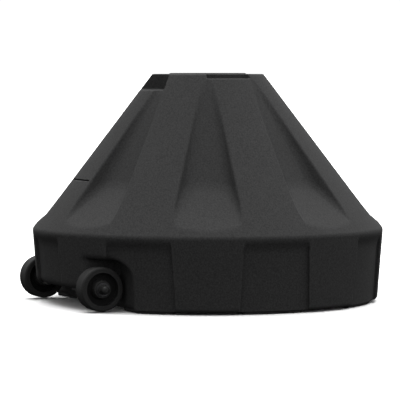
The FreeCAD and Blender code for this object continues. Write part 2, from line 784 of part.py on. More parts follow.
def inner_bush_outline():
    bore = "(axle_radius + running_clearance)"
    return [
        (bore, "wheel_inner - bush_flange"),
        (f"{BUSH_RADIUS} + bush_lip", "wheel_inner - bush_flange"),
        (f"{BUSH_RADIUS} + bush_lip", "wheel_inner"),
        (BUSH_RADIUS, "wheel_inner"),
        (BUSH_RADIUS, "wheel_inner + bush_length"),
        (bore, "wheel_inner + bush_length"),
    ]


def washer_outline(low):
    return ring("axle_radius + seat_gap", "axle_radius + washer_band", low,
                f"{low} + washer_thickness")


def axle_cap_outline():
    dome = f"(({CAP_RADIUS} ^ 2 + axle_cap_dome ^ 2) / (2 * axle_cap_dome))"
    lip = f"{CAP_RADIUS} + axle_cap_lip"
    return [
        ("axle_radius + seat_gap", CAP_START),
        (lip, CAP_START),
        (lip, f"{CAP_START} + axle_cap_flange"),
        (CAP_RADIUS, f"{CAP_START} + axle_cap_flange"),
        (CAP_RADIUS, f"{CAP_START} + axle_cap_length", dome),
        ("0", f"{CAP_START} + axle_cap_length + axle_cap_dome"),
        ("0", f"{AXLE_HALF} + seat_gap"),
        ("axle_radius + seat_gap", f"{AXLE_HALF} + seat_gap"),
    ]


def make_wheel(side, rotation):
    """Every piece on one end of the axle, measured outwards from the middle of the tank."""
    inner_washer = "(wheel_inner - bush_flange - side_gap - washer_thickness)"
    outer_washer = f"({WHEEL_OUTER} + bush_flange + side_gap)"
    for label, outline in (
            (f"wheel_core_{side}", wheel_core_outline()),
            (f"tyre_{side}", tyre_outline()),
            (f"hub_bush_outer_{side}", outer_bush_outline()),
            (f"hub_bush_inner_{side}", inner_bush_outline()),
            (f"inner_washer_{side}", washer_outline(inner_washer)),
            (f"outer_washer_{side}", washer_outline(outer_washer)),
            (f"axle_cap_{side}", axle_cap_outline())):
        keep(turned(label, outline, rotation, AXLE_PLACE))


def make_saddle(side, sign):
    """A block that holds the axle up in its groove, with two screw holes."""
    body = new_body(f"axle_saddle_{side}")
    reach = "(axle_radius + seat_gap)"
    half = f"({SCREW_PLACE} + saddle_margin)"
    top = f"({SADDLE_TOP} - seat_gap)"
    section = new_sketch(body, "YZ_Plane")
    draw(section, [
        (f"-{half}", SADDLE_BOTTOM),
        (half, SADDLE_BOTTOM),
        (half, top),
        (f"sqrt({reach} ^ 2 - {top} ^ 2)", top, f"-{reach}"),
        (f"-sqrt({reach} ^ 2 - {top} ^ 2)", top),
        (f"-{half}", top),
    ])
    extrude(body, "Pad", section, "saddle_width", both_ways=True)
    holes = new_sketch(body, "XY_Plane", SADDLE_BOTTOM)
    for place in ("-", ""):
        draw_circle(holes, "0", f"{place}{SCREW_PLACE}", "screw_radius + seat_gap")
    extrude(body, "Pocket", holes, f"{SADDLE_TOP} - {SADDLE_BOTTOM} + {PAST}", reverse=True)
    bind(body, "Placement.Base.x", f"{sign}saddle_place")
    bind(body, "Placement.Base.y", f"-{AXLE_OFFSET}")
    bind(body, "Placement.Base.z", AXLE_HEIGHT)
    return keep(body)


def make_saddle_screws():
    """Four pan-head screws up through the saddles."""
    head_top = "(-seat_gap)"
    tip = f"({SADDLE_TOP} - {SADDLE_BOTTOM} + screw_depth)"
    outline = [
        ("0", f"{head_top} - screw_head"),
        ("screw_head_radius - screw_head_bevel", f"{head_top} - screw_head"),
        ("screw_head_radius", f"{head_top} - screw_head + screw_head_bevel"),
        ("screw_head_radius", head_top),
        ("screw_radius", head_top),
        ("screw_radius", tip),
        ("0", tip),
    ]
    screws = []
    for side in ("-", ""):
        for place in ("-", "+"):
            spot = (f"{side}saddle_place", f"-{AXLE_OFFSET} {place} {SCREW_PLACE}",
                    f"{AXLE_HEIGHT} + {SADDLE_BOTTOM}")
            screws.append(turned(f"saddle_screw_{len(screws) + 1}", outline, place=spot))
    group = doc.addObject("Part::Compound", "saddle_screws")
    group.Links = screws
    return keep(group)


# ---------------------------------------------------------------- whole object

def build():
    fill_sheet()
    make_tank()
    make_fill_neck()
    make_fill_gasket()
    make_fill_cap()
    make_drain_bush()
    make_drain_washer()
    make_drain_plug()
    make_axle()
    make_wheel("left", OUT_ALONG_MINUS_X)
    make_wheel("right", OUT_ALONG_X)
    make_saddle("left", "-")
    make_saddle("right", "")
    make_saddle_screws()
    doc.recompute()


def check():
    """Stop if any object failed, or if a sub-part is empty or not a valid solid."""
    for item in doc.Objects:
        if "Invalid" in item.State or "Error" in item.State:
            raise RuntimeError(f"{item.Label} ({item.TypeId}) did not compute: {item.State}")
    for subpart in subparts:
        shape = subpart.Shape
        if shape.isNull() or not shape.isValid() or not shape.Solids:
            raise RuntimeError(f"{subpart.Label} has no valid solid")


def write():
    os.makedirs("parts", exist_ok=True)
    for subpart in subparts:
        subpart.Shape.exportStep(f"parts/{subpart.Label}.step")
        box = subpart.Shape.BoundBox
        print(f"{subpart.Label:22s} solids {len(subpart.Shape.Solids)}  volume "
              f"{subpart.Shape.Volume / 1000:9.2f} cm3  x {box.XMin:.1f} {box.XMax:.1f}"
              f"  y {box.YMin:.1f} {box.YMax:.1f}  z {box.ZMin:.1f} {box.ZMax:.1f}")


build()
check()
write()
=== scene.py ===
import json
import math

import bpy
import numpy as np
import openvdb
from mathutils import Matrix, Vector


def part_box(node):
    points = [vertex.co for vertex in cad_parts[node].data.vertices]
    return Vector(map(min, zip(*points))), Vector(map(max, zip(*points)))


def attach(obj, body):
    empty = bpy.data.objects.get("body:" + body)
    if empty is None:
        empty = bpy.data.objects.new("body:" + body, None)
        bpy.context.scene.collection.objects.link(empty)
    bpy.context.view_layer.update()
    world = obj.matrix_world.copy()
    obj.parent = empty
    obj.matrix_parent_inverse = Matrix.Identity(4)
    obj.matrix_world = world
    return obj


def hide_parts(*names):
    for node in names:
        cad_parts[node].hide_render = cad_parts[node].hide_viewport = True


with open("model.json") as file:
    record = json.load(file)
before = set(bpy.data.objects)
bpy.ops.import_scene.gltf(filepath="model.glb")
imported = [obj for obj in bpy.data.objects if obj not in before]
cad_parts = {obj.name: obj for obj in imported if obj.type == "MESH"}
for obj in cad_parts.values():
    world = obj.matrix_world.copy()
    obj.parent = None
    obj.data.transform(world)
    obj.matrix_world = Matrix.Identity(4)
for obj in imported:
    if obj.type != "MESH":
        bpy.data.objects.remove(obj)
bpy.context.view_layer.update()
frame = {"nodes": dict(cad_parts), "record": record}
MM = 0.001
NODES = frame["nodes"]
SLOTS = {part["node"]: part["material_slot"] for part in frame["record"]["subparts"]}


# ---------------------------------------------------------------- sizes in millimetres

def low_mm(node):
    """The low corner of a CAD node's box."""
    return [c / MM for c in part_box(node)[0]]


def high_mm(node):
    """The high corner of a CAD node's box."""
    return [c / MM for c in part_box(node)[1]]


TANK_NODES = [name for name in NODES if name.startswith("tank_")]
BOSS_Z = max(high_mm(name)[2] for name in TANK_NODES)
BOSS_R, BOSS_RISE = 82.0, 2.0
HEIGHT = BOSS_Z - BOSS_RISE       # at the top's outer edge
SKIRT_R = 381.0
FOOT_R = 369.0
SKIRT_Z = 159.0
TOP_R = 121.0
BELLY_Z = 5.5
CONE_RUN = (SKIRT_R - TOP_R) / (HEIGHT - SKIRT_Z)
SKIRT_RUN = (SKIRT_R - FOOT_R) / (SKIRT_Z - BELLY_Z)
SECTOR = math.radians(45)

WALL = 6.0
SEAT_GAP = 0.05                   # between pieces that are seated in each other
CAP_WELL_R, CAP_WELL_DEPTH = 47.0, 8.0
DECK_Z = BOSS_Z - CAP_WELL_DEPTH
NECK_R, NECK_BORE_R, NECK_FLANGE_R = 36.0, 31.0, 44.0
NECK_HOLE_R = NECK_R + SEAT_GAP

AXLE_Y = (low_mm("axle")[1] + high_mm("axle")[1]) / 2
AXLE_Z = (low_mm("axle")[2] + high_mm("axle")[2]) / 2
DRAIN_Y = 360.5                   # face of the flat spot round the drain
DRAIN_Z = 30.0
DRAIN_R, DRAIN_BORE_R = 11.0, 8.2
DRAIN_HOLE_R = DRAIN_R + SEAT_GAP


# ---------------------------------------------------------------- tank surface as a distance function

def round_max(a, b, radius):
    """Where both shapes are, with the edge between them rounded."""
    corner = np.hypot(np.maximum(a + radius, 0), np.maximum(b + radius, 0))
    return np.minimum(np.maximum(a, b), -radius) + corner


def round_min(a, b, radius):
    """Where either shape is, with the valley between them filled round."""
    return -round_max(-a, -b, radius)


def carve(body, cutter, radius):
    """The body without the cutter, with the edge between them rounded."""
    return round_max(body, -cutter, radius)


def all_of(*shapes):
    """Where every one of the shapes is."""
    inside = shapes[0]
    for shape in shapes[1:]:
        inside = np.maximum(inside, shape)
    return inside


def blend_max(a, b, width):
    """The larger of two numbers, with a smooth change from one to the other."""
    return np.maximum(a, b) + np.maximum(width - np.abs(a - b), 0) ** 2 / (4 * width)


def ramp(value, start, end):
    """0 before start, 1 after end, smooth between."""
    share = np.clip((value - start) / (end - start), 0, 1)
    return share * share * (3 - 2 * share)


SHOULDER_ROUND, TOP_ROUND, FOOT_ROUND = 3.2, 3.0, 8.0
BOSS_ROUND, BOSS_VALLEY = 1.5, 3.0


def blank(rho, z):
    """The turned skirt and cone, before anything is cut into them."""
    cone = (rho - TOP_R - (HEIGHT - z) * CONE_RUN) / math.hypot(1, CONE_RUN)
    skirt = (rho - FOOT_R - (z - BELLY_Z) * SKIRT_RUN) / math.hypot(1, SKIRT_RUN)
    body = round_max(cone, skirt, SHOULDER_ROUND)
    boss = round_max(rho - BOSS_R, z - BOSS_Z, BOSS_ROUND)
    body = round_max(body, round_min(z - HEIGHT, boss, BOSS_VALLEY), TOP_ROUND)
    return round_max(body, BELLY_Z - z, FOOT_ROUND), cone


FLUTE_START_Z, FLUTE_START_HALF = 478.0, 12.0
HEEL_Z, HEEL_HALF, HEEL_DEPTH = 258.0, 44.0, 36.0
HEEL_R = TOP_R + (HEIGHT - HEEL_Z) * CONE_RUN - HEEL_DEPTH
SCOOP_Z, SCOOP_HALF = 173.0, 82.0
FLUTE_START_R = TOP_R + (HEIGHT - FLUTE_START_Z) * CONE_RUN
SCOOP_R = TOP_R + (HEIGHT - SCOOP_Z) * CONE_RUN
FLUTE_RUN = (HEEL_R - FLUTE_START_R) / (FLUTE_START_Z - HEEL_Z)
SCOOP_RUN = (SCOOP_R - HEEL_R) / (HEEL_Z - SCOOP_Z)
FLUTE_FLARE = 0.55
FLUTE_LENGTH, FLUTE_WIDENING = FLUTE_START_Z - HEEL_Z, HEEL_HALF - FLUTE_START_HALF
SCOOP_LENGTH, SCOOP_WIDENING = HEEL_Z - SCOOP_Z, SCOOP_HALF - HEEL_HALF
SCOOP_CROWN = 0.50                # 0 for a flat scoop, 1 for one that is round about the tank's axis
BED_ROUND, CORNER_ROUND = 5.0, 10.0
HALF_BLEND, DEPTH_BLEND = 6.0, 10.0


def flute(rho, turn, z):
    """One flute: a tapering floor with leaning walls, and a flatter scoop that runs out to the skirt."""
    out = rho * np.cos(turn)
    side = np.abs(rho * np.sin(turn))
    floor_r = FLUTE_START_R + (FLUTE_START_Z - z) * FLUTE_RUN
    scoop_r = HEEL_R + (HEEL_Z - z) * SCOOP_RUN
    floor = (floor_r - out) / math.hypot(1, FLUTE_RUN)
    scoop = (scoop_r - np.hypot(out, SCOOP_CROWN * side)) / math.hypot(1, SCOOP_RUN)
    bed = round_max(floor, scoop, BED_ROUND)
    upper_half = FLUTE_START_HALF + (FLUTE_START_Z - z) * FLUTE_WIDENING / FLUTE_LENGTH
    lower_half = HEEL_HALF + (HEEL_Z - z) * SCOOP_WIDENING / SCOOP_LENGTH
    half = blend_max(upper_half, lower_half, HALF_BLEND)
    deep = out - blend_max(floor_r, scoop_r, DEPTH_BLEND)
    wall = (side - half - deep * FLUTE_FLARE) / math.hypot(1, FLUTE_FLARE)
    return round_max(bed, wall, CORNER_ROUND)


PANEL_DEPTH, PANEL_TOP, PANEL_HALF = 7.5, 150.0, 72.5
PANEL_SLOPE = 17.0 / PANEL_DEPTH  # how far the ceiling comes down for each millimetre inwards
PANEL_DRAFT, PANEL_ROUND = 0.04, 3.0
PAD_HALF, PAD_R, PAD_INNER = 66.0, 357.0, 290.0
PAST = 2.0                        # how far a shape reaches past a face that it only has to clear


def panel(rho, arc, z):
    """One shallow recess in the skirt, open at the bottom, under a sloping ceiling."""
    surface = FOOT_R + (z - BELLY_Z) * SKIRT_RUN
    side = arc - PANEL_HALF - PANEL_DRAFT * (PANEL_TOP - z)
    floor = surface - PANEL_DEPTH - rho
    ceiling = (z - PANEL_TOP + (surface - rho) * PANEL_SLOPE) / math.hypot(1, PANEL_SLOPE)
    return round_max(round_max(side, floor, PANEL_ROUND), ceiling, PANEL_ROUND)


def pad(rho, arc, z):
    """One foot pad under a panel."""
    return all_of(arc - PAD_HALF, rho - PAD_R, PAD_INNER - rho, -z, z - BELLY_Z - PAST)


BAY_Y, BAY_Z = -264.5, 45.0
WELL_IN, WELL_OUT, WELL_Z = 155.0, 243.0, 109.0
WELL_ROUND, WELL_EDGE, BAY_ROUND, BAY_VALLEY, BACK_ROUND = 40.0, 4.0, 6.0, 3.0, 12.0


def wheel_bay(across, y, z):
    """The raised skirt between the wheels and a well round each wheel."""
    well = round_max(across - WELL_OUT, z - WELL_Z, WELL_ROUND)
    well = round_max(well, WELL_IN - across, WELL_EDGE)
    bay = round_max(across - WELL_OUT, z - BAY_Z, BAY_ROUND)
    return round_max(round_min(well, bay, BAY_VALLEY), y - BAY_Y, BACK_ROUND)


GRIP_HALF, GRIP_HALF_Y, GRIP_FLARE = 55.6, -115.8, 0.85
GRIP_BACK_Y, GRIP_FLOOR_Z = -87.0, 459.0
GRIP_CORNER, GRIP_FLOOR_ROUND = 6.0, 4.0


def grip_pocket(across, y, z):
    """The pocket in the top edge over the wheels, wider towards the outside."""
    side = (across - GRIP_HALF + (y - GRIP_HALF_Y) * GRIP_FLARE) / math.hypot(1, GRIP_FLARE)
    walls = round_max(side, y - GRIP_BACK_Y, GRIP_CORNER)
    return round_max(walls, GRIP_FLOOR_Z - z, GRIP_FLOOR_ROUND)


NOTCH_HALF, NOTCH_R, NOTCH_Z = 49.0, 108.0, 483.0
NOTCH_CORNER, NOTCH_FLOOR_ROUND = 6.0, 2.0


def edge_notch(rho, y, z):
    """A shallow step in the top edge at each end of the X axis."""
    walls = round_max(np.abs(y) - NOTCH_HALF, NOTCH_R - rho, NOTCH_CORNER)
    return round_max(walls, NOTCH_Z - z, NOTCH_FLOOR_ROUND)


GROOVE_R = 6.4


def axle_groove(across, y, z):
    """The groove under the raised skirt that the axle lies in."""
    round_part = np.hypot(y - AXLE_Y, z - AXLE_Z) - GROOVE_R
    slot = np.maximum(np.abs(y - AXLE_Y) - GROOVE_R, z - AXLE_Z)
    return np.maximum(np.minimum(round_part, slot), across - WELL_IN - PAST)


SLIT_Z, SLIT_HALF_GAP, SLIT_DEPTH, SLIT_HALF = 267.0, 1.3, 3.5, 47.0


def finger_slit(cone, across, y, z):
    """The thin slot across the ridge over the wheels."""
    return all_of(np.abs(z - SLIT_Z) - SLIT_HALF_GAP, -cone - SLIT_DEPTH, across - SLIT_HALF, y)


SPOT_R, DRAIN_START_Y = 17.0, 330.0
NECK_REACH = 40.0
FLUTE_EDGE_LOW, FLUTE_EDGE_RISE = 1.0, 2.5
FLUTE_EDGE_START_Z, FLUTE_EDGE_END_Z = 190.0, 235.0
PANEL_EDGE, PAD_EDGE, BAY_EDGE, GRIP_EDGE, NOTCH_EDGE = 1.6, 1.0, 12.0, 2.0, 1.5
SPOT_EDGE, CAP_WELL_ROUND, HOLLOW_EDGE = 0.6, 2.0, 0.5


def tank_distance(x, y, z):
    """Millimetres from a point to the tank's surface, negative inside."""
    rho = np.hypot(x, y)
    azimuth = np.arctan2(y, x)
    panel_turn = azimuth - SECTOR * np.round(azimuth / SECTOR)
    flute_turn = azimuth - SECTOR / 2
    flute_turn = flute_turn - SECTOR * np.round(flute_turn / SECTOR)
    across = np.abs(x)
    arc = rho * np.abs(panel_turn)
    body, cone = blank(rho, z)
    flute_edge = FLUTE_EDGE_LOW + FLUTE_EDGE_RISE * ramp(z, FLUTE_EDGE_START_Z, FLUTE_EDGE_END_Z)
    body = carve(body, flute(rho, flute_turn, z), flute_edge)
    body = carve(body, panel(rho, arc, z), PANEL_EDGE)
    body = round_min(body, pad(rho, arc, z), PAD_EDGE)
    body = carve(body, wheel_bay(across, y, z), BAY_EDGE)
    body = carve(body, grip_pocket(across, y, z), GRIP_EDGE)
    body = carve(body, edge_notch(rho, y, z), NOTCH_EDGE)
    body = np.maximum(body, -finger_slit(cone, across, y, z))
    body = np.maximum(body, -axle_groove(across, y, z))
    from_drain = np.hypot(x, z - DRAIN_Z)
    body = carve(body, np.maximum(from_drain - SPOT_R, DRAIN_Y - y), SPOT_EDGE)
    body = carve(body, round_max(rho - CAP_WELL_R, DECK_Z - z, CAP_WELL_ROUND), CAP_WELL_ROUND)
    body = round_max(body, -body - WALL, HOLLOW_EDGE)
    body = np.maximum(body, -np.maximum(rho - NECK_HOLE_R, DECK_Z - NECK_REACH - z))
    return np.maximum(body, -np.maximum(from_drain - DRAIN_HOLE_R, DRAIN_START_Y - y))


# ---------------------------------------------------------------- meshing

def levels(low, high, step, fine):
    """Grid levels from low to high, a step apart, and closer inside each (start, end, step) of fine."""
    made = [low]
    while made[-1] < high:
        here = made[-1]
        gap = min([step] + [s for start, end, s in fine if start <= here < end])
        made.append(here + gap)
    return np.array(made, np.float32)


# Heights where the grid is closer, and its step there as a share of the usual one.
FINE_BANDS = [(128, 166, 0.65), (262, 272, 0.3), (454, 464, 0.5), (476, 500, 0.5)]
BELOW_TANK, ABOVE_TANK = 3.0, 4.0
FAR_OUTSIDE = 100.0
BAND_STEPS = 3                    # the distance matters only this many steps from the surface


def field_on_grid(step):
    """The distance on a grid that is mirrored across X, with the grid's places along each axis."""
    half = levels(0.0, SKIRT_R + 2 * step, step, [])
    xs = np.concatenate([-half[:0:-1], half])
    ys = levels(-SKIRT_R - 2 * step, SKIRT_R + 2 * step, step, [])
    fine = [(start, end, step * share) for start, end, share in FINE_BANDS]
    zs = levels(-BELOW_TANK, HEIGHT + ABOVE_TANK, step, fine)
    field = tank_distance(half[:, None, None], ys[None, :, None], zs[None, None, :])
    field = np.concatenate([field[:0:-1], field], axis=0).astype(np.float32)
    return field, (xs, ys, zs)


def surface_mesh(step, adaptivity):
    """A mesh along the tank's surface, in millimetres, facing outwards."""
    field, axes = field_on_grid(step)
    grid = openvdb.FloatGrid(FAR_OUTSIDE)
    band_width = BAND_STEPS * step
    grid.copyFromArray(np.ascontiguousarray(np.clip(field, -band_width, band_width)))
    points, triangles, quads = grid.convertToPolygons(0.0, adaptivity)
    place = np.stack([np.interp(points[:, axis], np.arange(len(ticks)), ticks)
                      for axis, ticks in enumerate(axes)], axis=1)
    place, slope = settled(place, step)
    faces = [tuple(face) for face in quads] + [tuple(face) for face in triangles]
    if facing(place, quads, slope) < 0:
        faces = [face[::-1] for face in faces]
    mesh = bpy.data.meshes.new("grid_surface")
    mesh.from_pydata(place, [], faces)
    mesh.validate()
    mesh.update()
    return mesh


def facing(place, quads, slope):
    """How far the faces' normals agree with the surface's slope, over all of them."""
    a, b, c = (place[quads[:, corner]] for corner in range(3))
    return float(np.sum(np.cross(b - a, c - a) * slope[quads[:, 0]]))


SETTLING_PASSES = 3


def settled(place, most):
    """The points moved onto the surface, and the surface's slope there."""
    for _ in range(SETTLING_PASSES):
        slope, value = gradient(place)
        place = place - slope * np.clip(value, -most, most)[:, None]
    return place, gradient(place)[0]


def gradient(place, reach=0.3):
    """Unit slope and value of the distance function at each point."""
    x, y, z = place.T
    value = tank_distance(x, y, z)
    slope = np.stack([
        tank_distance(x + reach, y, z) - tank_distance(x - reach, y, z),
        tank_distance(x, y + reach, z) - tank_distance(x, y - reach, z),
        tank_distance(x, y, z + reach) - tank_distance(x, y, z - reach)], axis=1)
    slope /= np.maximum(np.linalg.norm(slope, axis=1), 1e-9)[:, None]
    return slope, value


def thinned(mesh, most):
    """A copy of the mesh with at most so many triangles, its flattest places thinned first."""
    thing = bpy.data.objects.new("thinning", mesh)
    bpy.context.scene.collection.objects.link(thing)
    modifier = thing.modifiers.new("thin", "DECIMATE")
    count = sum(len(face.vertices) - 2 for face in mesh.polygons)
    modifier.ratio = min(1.0, most / count)
    made = bpy.data.meshes.new_from_object(thing.evaluated_get(bpy.context.evaluated_depsgraph_get()))
    bpy.data.objects.remove(thing)
    bpy.data.meshes.remove(mesh)
    return made


MOST_TRIANGLES = 185000
STEP, QUICK_STEP = 3.0, 4.0
ADAPTIVITY = 0.05
SETTLE = 0.5


def make_tank():
    """The whole moulding as one skin, shaded by the exact slope of its surface."""
    step = STEP
    mesh = thinned(surface_mesh(step, ADAPTIVITY), MOST_TRIANGLES)
    mesh.name = "tank_skin"
    place = np.empty(len(mesh.vertices) * 3, np.float32)
    mesh.vertices.foreach_get("co", place)
    place, slope = settled(place.reshape(-1, 3).astype(float), SETTLE)
    mesh.vertices.foreach_set("co", (place * MM).ravel())
    mesh.polygons.foreach_set("use_smooth", [True] * len(mesh.polygons))
    mesh.normals_split_custom_set_from_vertices([tuple(n) for n in slope])
    mesh.update()
    tank = bpy.data.objects.new("tank_skin", mesh)
    bpy.context.scene.collection.objects.link(tank)
    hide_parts(*TANK_NODES)
    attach(tank, "tank")
    return tank


# ---------------------------------------------------------------- turned pieces

ARC_POINTS = 6
MOST_OF_EDGE = 0.48               # the most of an edge that the rounding at one of its ends takes
TURN_STEPS = 96


def rounded_outline(corners, closed):
    """Points and outward normals along an outline of (radius, along, rounding), anticlockwise."""
    points, normals = [], []
    count = len(corners)
    for index, (radius, along, rounding) in enumerate(corners):
        here = np.array([radius, along])
        before = np.array(corners[index - 1][:2]) - here
        after = np.array(corners[(index + 1) % count][:2]) - here
        lengths = np.linalg.norm(before), np.linalg.norm(after)
        before, after = before / lengths[0], after / lengths[1]
        first = np.array([-before[1], before[0]])
        last = np.array([after[1], -after[0]])
        if not closed and index in (0, count - 1):
            points.append(here)
            normals.append(last if index == 0 else first)
            continue
        half = math.acos(np.clip(before @ after, -1, 1)) / 2
        reach = min(rounding / math.tan(half), MOST_OF_EDGE * min(lengths))
        rounding = reach * math.tan(half)
        middle = before + after
        centre = here + middle / np.linalg.norm(middle) * rounding / math.sin(half)
        outwards = 1 if before[1] * after[0] - before[0] * after[1] > 0 else -1
        for share in np.linspace(0, 1, ARC_POINTS):
            normal = first * (1 - share) + last * share
            normal /= np.linalg.norm(normal)
            points.append(centre + outwards * rounding * normal)
            normals.append(normal)
    return np.array(points), np.array(normals)


def turned(node, body, corners, rotation, place, closed=True):
    """A piece turned about its Z axis with every corner rounded, in place of its CAD node."""
    outline, normals = rounded_outline(corners, closed)
    count = len(outline)
    turns = np.arange(TURN_STEPS) * 2 * math.pi / TURN_STEPS
    spin = np.stack([np.cos(turns), np.sin(turns)], axis=1)
    verts = [(r * c * MM, r * s * MM, d * MM) for c, s in spin for r, d in outline]
    slopes = [(nr * c, nr * s, nd) for c, s in spin for nr, nd in normals]
    faces = []
    for turn in range(TURN_STEPS):
        here, beyond = turn * count, (turn + 1) % TURN_STEPS * count
        for step in range(count if closed else count - 1):
            after = (step + 1) % count
            face = (here + step, beyond + step, beyond + after, here + after)
            faces.append(tuple(dict.fromkeys(close_pole(v, count, closed) for v in face)))
    mesh = bpy.data.meshes.new(node + "_turned")
    mesh.from_pydata(verts, [], faces)
    mesh.polygons.foreach_set("use_smooth", [True] * len(mesh.polygons))
    mesh.normals_split_custom_set_from_vertices(slopes)
    mesh.update()
    thing = bpy.data.objects.new(node + "_turned", mesh)
    thing.rotation_mode = "QUATERNION"
    thing.rotation_quaternion = rotation
    thing.location = [c * MM for c in place]
    bpy.context.scene.collection.objects.link(thing)
    bpy.context.view_layer.update()
    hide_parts(node)
    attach(thing, body)
    paint(thing, FINISHES[SLOTS[node]])


def close_pole(vertex, count, closed):
    """An open outline ends on the axis, where one vertex serves every turn."""
    if closed:
        return vertex
    place = vertex % count
    return place if place in (0, count - 1) else vertex


def softened(node, width):
    """Rounded edges on a CAD node that keeps its own mesh."""
    bevel = NODES[node].modifiers.new("soft_edges", "BEVEL")
    bevel.width = width * MM
    bevel.segments = 3
    bevel.limit_method = "ANGLE"


def band(inner, outer, low, high, rounding):
    """Outline of a plain ring with its four edges rounded."""
    return [(inner, low, rounding), (outer, low, rounding), (outer, high, rounding),
            (inner, high, rounding)]


WHEEL_IN = low_mm("wheel_core_right")[0]
WHEEL_OUT = high_mm("wheel_core_right")[0]
AXLE_END = high_mm("axle")[0]
AXLE_R = 6.0
BORE_R = AXLE_R + SEAT_GAP
WHEEL_R, CORE_R, RIM_R, HUB_R = 46.0, 37.0, 34.5, 21.0
HUB_FACE_R = HUB_R - 3.0
TYRE_SHOULDER = 5.0
WEB_THICKNESS = 7.0
WEB_IN = (WHEEL_IN + WHEEL_OUT) / 2 - WEB_THICKNESS / 2
WEB_OUT = WEB_IN + WEB_THICKNESS
BUSH_R, BUSH_LIP_R = 9.0, 12.0
BUSH_FLANGE, BUSH_LENGTH = 1.5, 14.0
WASHER_R, WASHER_ROUND = 14.0, 0.35
CAP_IN = low_mm("axle_cap_right")[0]
CAP_OUT = high_mm("axle_cap_right")[0]
CAP_R, CAP_LIP_R, CAP_TIP_R = 8.5, 11.0, 4.6
CAP_FLANGE, CAP_DOME = 2.0, 3.5


def wheel_core_corners():
    """Hub, web and rim, from the hub's inner face round to its outer one."""
    return [
        (BUSH_R, WHEEL_IN, 0.2), (HUB_FACE_R, WHEEL_IN, 1.2), (HUB_R, WEB_IN, 1.5),
        (RIM_R, WEB_IN, 2.0), (RIM_R, WHEEL_IN, 0.8), (CORE_R, WHEEL_IN, 0.3),
        (CORE_R, WHEEL_OUT, 0.3), (RIM_R, WHEEL_OUT, 0.8), (RIM_R, WEB_OUT, 2.0),
        (HUB_R, WEB_OUT, 1.5), (HUB_FACE_R, WHEEL_OUT, 1.2), (BUSH_R, WHEEL_OUT, 0.2)]


def tyre_corners():
    """The solid tyre round the core, with rounded shoulders."""
    return [
        (CORE_R, WHEEL_IN, 0.3), (WHEEL_R, WHEEL_IN, TYRE_SHOULDER),
        (WHEEL_R, WHEEL_OUT, TYRE_SHOULDER), (CORE_R, WHEEL_OUT, 0.3)]


def outer_bush_corners():
    """The bush in the hub's outer end, with its flange against the hub's face."""
    start, lip = WHEEL_OUT - BUSH_LENGTH, WHEEL_OUT + BUSH_FLANGE
    return [
        (BORE_R, start, 0.3), (BUSH_R, start, 0.3), (BUSH_R, WHEEL_OUT, 0.1),
        (BUSH_LIP_R, WHEEL_OUT, 0.3), (BUSH_LIP_R, lip, 0.5), (BORE_R, lip, 0.3)]


def inner_bush_corners():
    """The bush in the hub's inner end, with its flange against the hub's face."""
    end, lip = WHEEL_IN + BUSH_LENGTH, WHEEL_IN - BUSH_FLANGE
    return [
        (BORE_R, lip, 0.3), (BUSH_LIP_R, lip, 0.5), (BUSH_LIP_R, WHEEL_IN, 0.3),
        (BUSH_R, WHEEL_IN, 0.1), (BUSH_R, end, 0.3), (BORE_R, end, 0.3)]


def axle_cap_corners():
    """A push-on cap with a flange at its open end and a domed closed one."""
    seat = AXLE_END + SEAT_GAP
    flange = CAP_IN + CAP_FLANGE
    return [
        (0, seat, 0), (BORE_R, seat, 0.3), (BORE_R, CAP_IN, 0.3), (CAP_LIP_R, CAP_IN, 0.4),
        (CAP_LIP_R, flange, 0.8), (CAP_R, flange, 0.6), (CAP_R, CAP_OUT - CAP_DOME, 2.6),
        (CAP_TIP_R, CAP_OUT, 6.0), (0, CAP_OUT, 0)]


def make_wheel(side, sign):
    """Everything on one end of the axle, measured outwards from the tank's middle."""
    rotation = Vector((sign, 0, 0)).to_track_quat("Z", "Y")
    place = (0, AXLE_Y, AXLE_Z)
    for name, corners in (("tyre", tyre_corners()), ("wheel_core", wheel_core_corners()),
                          ("hub_bush_outer", outer_bush_corners()),
                          ("hub_bush_inner", inner_bush_corners())):
        turned(f"{name}_{side}", f"wheel_{side}", corners, rotation, place)
    for name in ("inner_washer", "outer_washer"):
        near, far = low_mm(f"{name}_right")[0], high_mm(f"{name}_right")[0]
        turned(f"{name}_{side}", "tank", band(BORE_R, WASHER_R, near, far, WASHER_ROUND), rotation,
               place)
    turned(f"axle_cap_{side}", "tank", axle_cap_corners(), rotation, place, closed=False)


NECK_DEPTH, NECK_FLANGE = 33.0, 3.0
GASKET_IN_R, GASKET_OUT_R, GASKET_THICKNESS = 32.0, 38.0, 1.2
DRAIN_LENGTH = 18.0
DRAIN_FLANGE_R, DRAIN_FLANGE = 15.0, 2.4
SEAL_IN_R, SEAL_OUT_R, SEAL_THICKNESS = 8.3, 13.0, 1.5
SEAL_ROUND = 0.4
SOFT_EDGES = {"drain_plug": 0.5, "fill_cap": 0.6, "axle_saddle_left": 0.5,
              "axle_saddle_right": 0.5, "saddle_screws": 0.3}


def make_axle():
    """The plain steel axle through both wheels."""
    turned("axle", "tank", [
        (0, -AXLE_END, 0), (AXLE_R, -AXLE_END, 1.0), (AXLE_R, AXLE_END, 1.0), (0, AXLE_END, 0)],
        Vector((1, 0, 0)).to_track_quat("Z", "Y"), (0, AXLE_Y, AXLE_Z), closed=False)


